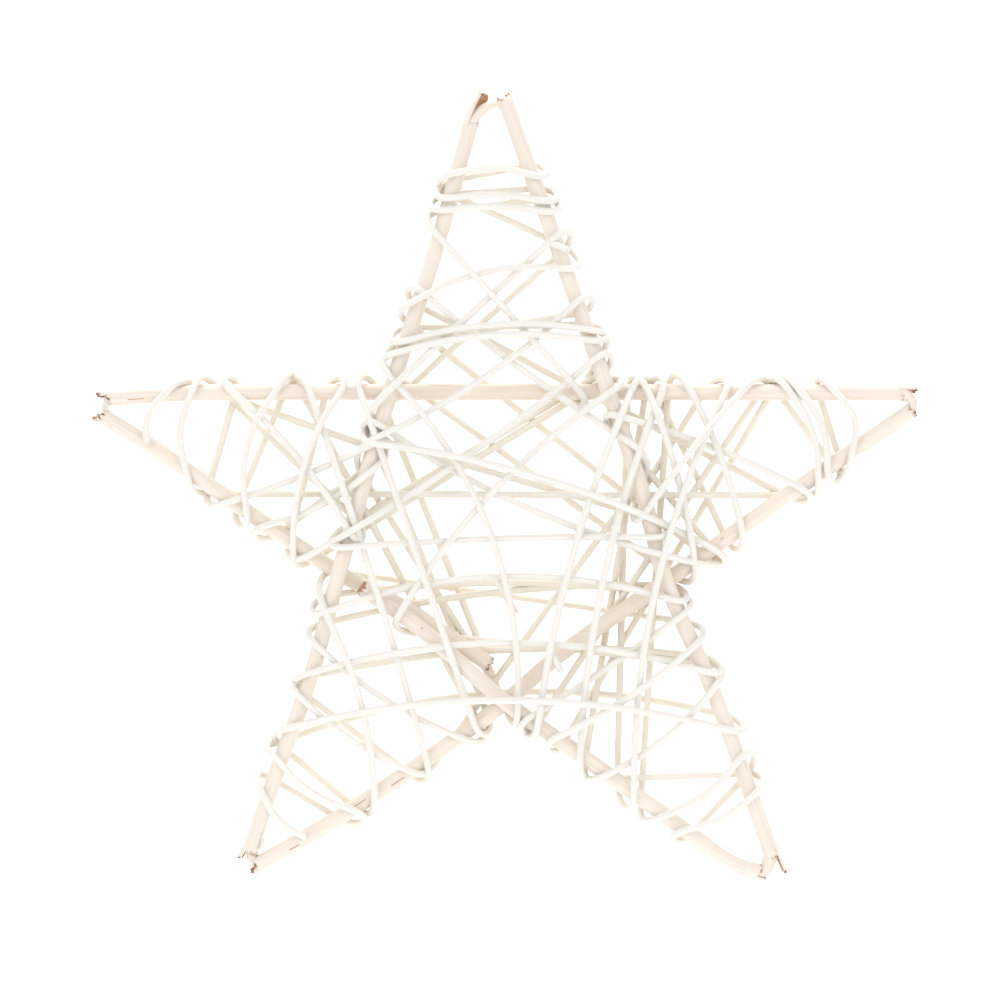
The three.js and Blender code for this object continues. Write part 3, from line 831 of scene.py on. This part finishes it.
def make_grain_group():
    """Lengthwise fibres from the place on the straight bar: a colour and a height."""
    group = bpy.data.node_groups.new("lengthwise_grain", "ShaderNodeTree")
    sockets = group.interface
    sockets.new_socket("Place", in_out="INPUT", socket_type="NodeSocketVector")
    for name in ("Fibres across", "Fibres along", "Streak strength"):
        sockets.new_socket(name, in_out="INPUT", socket_type="NodeSocketFloat")
    for name in ("Light", "Dark", "Stain"):
        sockets.new_socket(name, in_out="INPUT", socket_type="NodeSocketColor")
    sockets.new_socket("Colour", in_out="OUTPUT", socket_type="NodeSocketColor")
    sockets.new_socket("Height", in_out="OUTPUT", socket_type="NodeSocketFloat")
    nodes, links = group.nodes, group.links
    given = nodes.new("NodeGroupInput")
    out = nodes.new("NodeGroupOutput")
    scale = nodes.new("ShaderNodeCombineXYZ")
    links.new(given.outputs["Fibres across"], scale.inputs["X"])
    links.new(given.outputs["Fibres across"], scale.inputs["Y"])
    links.new(given.outputs["Fibres along"], scale.inputs["Z"])
    stretched = nodes.new("ShaderNodeVectorMath")
    stretched.operation = "MULTIPLY"
    links.new(given.outputs["Place"], stretched.inputs[0])
    links.new(scale.outputs[0], stretched.inputs[1])
    fibres = nodes.new("ShaderNodeTexNoise")
    fibres.inputs["Scale"].default_value = 1.0
    fibres.inputs["Detail"].default_value = 4.0
    fibres.inputs["Roughness"].default_value = 0.6
    links.new(stretched.outputs[0], fibres.inputs["Vector"])
    contrast = nodes.new("ShaderNodeMapRange")
    contrast.inputs["From Min"].default_value = FIBRE_CONTRAST[0]
    contrast.inputs["From Max"].default_value = FIBRE_CONTRAST[1]
    links.new(fibres.outputs["Fac"], contrast.inputs["Value"])
    strength = nodes.new("ShaderNodeMath")
    strength.operation = "MULTIPLY"
    links.new(contrast.outputs["Result"], strength.inputs[0])
    links.new(given.outputs["Streak strength"], strength.inputs[1])
    streaks = nodes.new("ShaderNodeMix")
    streaks.data_type = "RGBA"
    links.new(strength.outputs[0], streaks.inputs["Factor"])
    links.new(given.outputs["Light"], streaks.inputs["A"])
    links.new(given.outputs["Dark"], streaks.inputs["B"])
    patches = nodes.new("ShaderNodeTexNoise")
    patches.inputs["Scale"].default_value = STAIN_SCALE
    patches.inputs["Detail"].default_value = 2.0
    links.new(given.outputs["Place"], patches.inputs["Vector"])
    patchy = nodes.new("ShaderNodeMapRange")
    patchy.inputs["From Min"].default_value = STAIN_CONTRAST[0]
    patchy.inputs["From Max"].default_value = STAIN_CONTRAST[1]
    patchy.inputs["To Max"].default_value = STAIN_STRENGTH
    links.new(patches.outputs["Fac"], patchy.inputs["Value"])
    stained = nodes.new("ShaderNodeMix")
    stained.data_type = "RGBA"
    links.new(patchy.outputs["Result"], stained.inputs["Factor"])
    links.new(streaks.outputs["Result"], stained.inputs["A"])
    links.new(given.outputs["Stain"], stained.inputs["B"])
    links.new(stained.outputs["Result"], out.inputs["Colour"])
    links.new(fibres.outputs["Fac"], out.inputs["Height"])
    return group


def make_material(name, grain, colours, behind, across, along, strength, roughness, bump_depth):
    """Grained wood, with painted shade that makes it darker and yellower towards the back of the star, and
    brown where it is torn.
    """
    material = bpy.data.materials.new(name)
    material.use_nodes = True
    nodes, links = material.node_tree.nodes, material.node_tree.links
    shader = nodes["Principled BSDF"]
    shader.inputs["Roughness"].default_value = roughness
    place = nodes.new("ShaderNodeAttribute")
    place.attribute_name = "straight"
    fibres = nodes.new("ShaderNodeGroup")
    fibres.node_tree = grain
    links.new(place.outputs["Vector"], fibres.inputs["Place"])
    fibres.inputs["Fibres across"].default_value = across
    fibres.inputs["Fibres along"].default_value = along
    fibres.inputs["Streak strength"].default_value = strength
    for socket, colour in zip(("Light", "Dark", "Stain"), colours):
        fibres.inputs[socket].default_value = (*colour, 1)
    where = nodes.new("ShaderNodeTexCoord")
    axes = nodes.new("ShaderNodeSeparateXYZ")
    links.new(where.outputs["Object"], axes.inputs["Vector"])
    # Painted shade: the colour is multiplied by a darker, yellower tint the further back (towards +Y) the
    # surface lies
    depth = nodes.new("ShaderNodeMapRange")
    depth.inputs["From Min"].default_value = -ROD_RADIUS
    depth.inputs["From Max"].default_value = ROD_RADIUS
    links.new(axes.outputs["Y"], depth.inputs["Value"])
    shade_towards_back = nodes.new("ShaderNodeMix")
    shade_towards_back.data_type = "RGBA"
    shade_towards_back.blend_type = "MULTIPLY"
    links.new(depth.outputs["Result"], shade_towards_back.inputs["Factor"])
    links.new(fibres.outputs["Colour"], shade_towards_back.inputs["A"])
    shade_towards_back.inputs["B"].default_value = (*behind, 1)
    torn = nodes.new("ShaderNodeAttribute")
    torn.attribute_name = "torn"
    broken = nodes.new("ShaderNodeMix")
    broken.data_type = "RGBA"
    links.new(torn.outputs["Fac"], broken.inputs["Factor"])
    links.new(shade_towards_back.outputs["Result"], broken.inputs["A"])
    cracked = nodes.new("ShaderNodeMix")
    cracked.data_type = "RGBA"
    links.new(fibres.outputs["Height"], cracked.inputs["Factor"])
    cracked.inputs["A"].default_value = (*TORN_WOOD[0], 1)
    cracked.inputs["B"].default_value = (*TORN_WOOD[1], 1)
    links.new(cracked.outputs["Result"], broken.inputs["B"])
    links.new(broken.outputs["Result"], shader.inputs["Base Color"])
    bump = nodes.new("ShaderNodeBump")
    bump.inputs["Strength"].default_value = BUMP_STRENGTH
    bump.inputs["Distance"].default_value = bump_depth
    links.new(fibres.outputs["Height"], bump.inputs["Height"])
    links.new(bump.outputs["Normal"], shader.inputs["Normal"])
    return material


# Studio

def make_studio():
    """One pale sheet: floor, cove and back wall."""
    floor_z = -FLOOR_DROP
    back_y = BACKDROP_BEHIND
    bm = bmesh.new()
    near = bm.verts.new((-STUDIO_HALF_WIDTH, -STUDIO_HALF_WIDTH, floor_z))
    foot = bm.verts.new((-STUDIO_HALF_WIDTH, back_y - COVE_RADIUS, floor_z))
    bm.edges.new((near, foot))
    centre = Vector((0, back_y - COVE_RADIUS, floor_z + COVE_RADIUS))
    bmesh.ops.spin(bm, geom=[foot], cent=centre, axis=(1, 0, 0), angle=math.radians(90),
                   steps=COVE_STEPS)
    top = max(bm.verts, key=lambda vert: vert.co.z)
    bm.edges.new((top, bm.verts.new(top.co + Vector((0, 0, BACKDROP_HEIGHT)))))
    out = bmesh.ops.extrude_edge_only(bm, edges=bm.edges[:])["geom"]
    moved = [item for item in out if isinstance(item, bmesh.types.BMVert)]
    bmesh.ops.translate(bm, vec=(2 * STUDIO_HALF_WIDTH, 0, 0), verts=moved)
    bmesh.ops.remove_doubles(bm, verts=bm.verts, dist=STUDIO_MERGE_DISTANCE)
    for face in bm.faces:
        face.smooth = True
    mesh = bpy.data.meshes.new("studio_sheet")
    bm.to_mesh(mesh)
    bm.free()
    material = bpy.data.materials.new("studio_white")
    material.use_nodes = True
    shader = material.node_tree.nodes["Principled BSDF"]
    shader.inputs["Base Color"].default_value = STUDIO_COLOUR
    shader.inputs["Roughness"].default_value = STUDIO_ROUGHNESS
    mesh.materials.append(material)
    sheet = bpy.data.objects.new("studio_sheet", mesh)
    bpy.context.collection.objects.link(sheet)


def make_lights():
    for name, (place, faced, side, power) in LIGHTS.items():
        data = bpy.data.lights.new(name, "AREA")
        data.shape = "SQUARE"
        data.size = side
        data.energy = power
        light = bpy.data.objects.new(name, data)
        light.location = place
        light.rotation_euler = (Vector(faced) - Vector(place)).to_track_quat("-Z", "Y").to_euler()
        bpy.context.collection.objects.link(light)
    world = bpy.data.worlds.new("studio_air")
    world.use_nodes = True
    air = world.node_tree.nodes["Background"]
    air.inputs["Strength"].default_value = AIR_BRIGHTNESS
    air.inputs["Color"].default_value = (1, 1, 1, 1)
    bpy.context.scene.world = world


make_camera()
bpy.context.scene.view_settings.view_transform = "Standard"
lines = rod_lines()
grain = make_grain_group()
rod_material = make_material("peeled_rattan", grain, ROD_WOOD, ROD_PAINTED_SHADE_BEHIND, across=1500, along=60,
                             strength=0.7, roughness=0.55, bump_depth=0.00012)
reed_material = make_material("core_reed", grain, REED_WOOD, REED_PAINTED_SHADE_BEHIND, across=2600, along=90,
                              strength=0.6, roughness=0.6, bump_depth=0.00008)
build_rod(lines, rod_material)
build_reed(lines, reed_material)
make_studio()
make_lights()
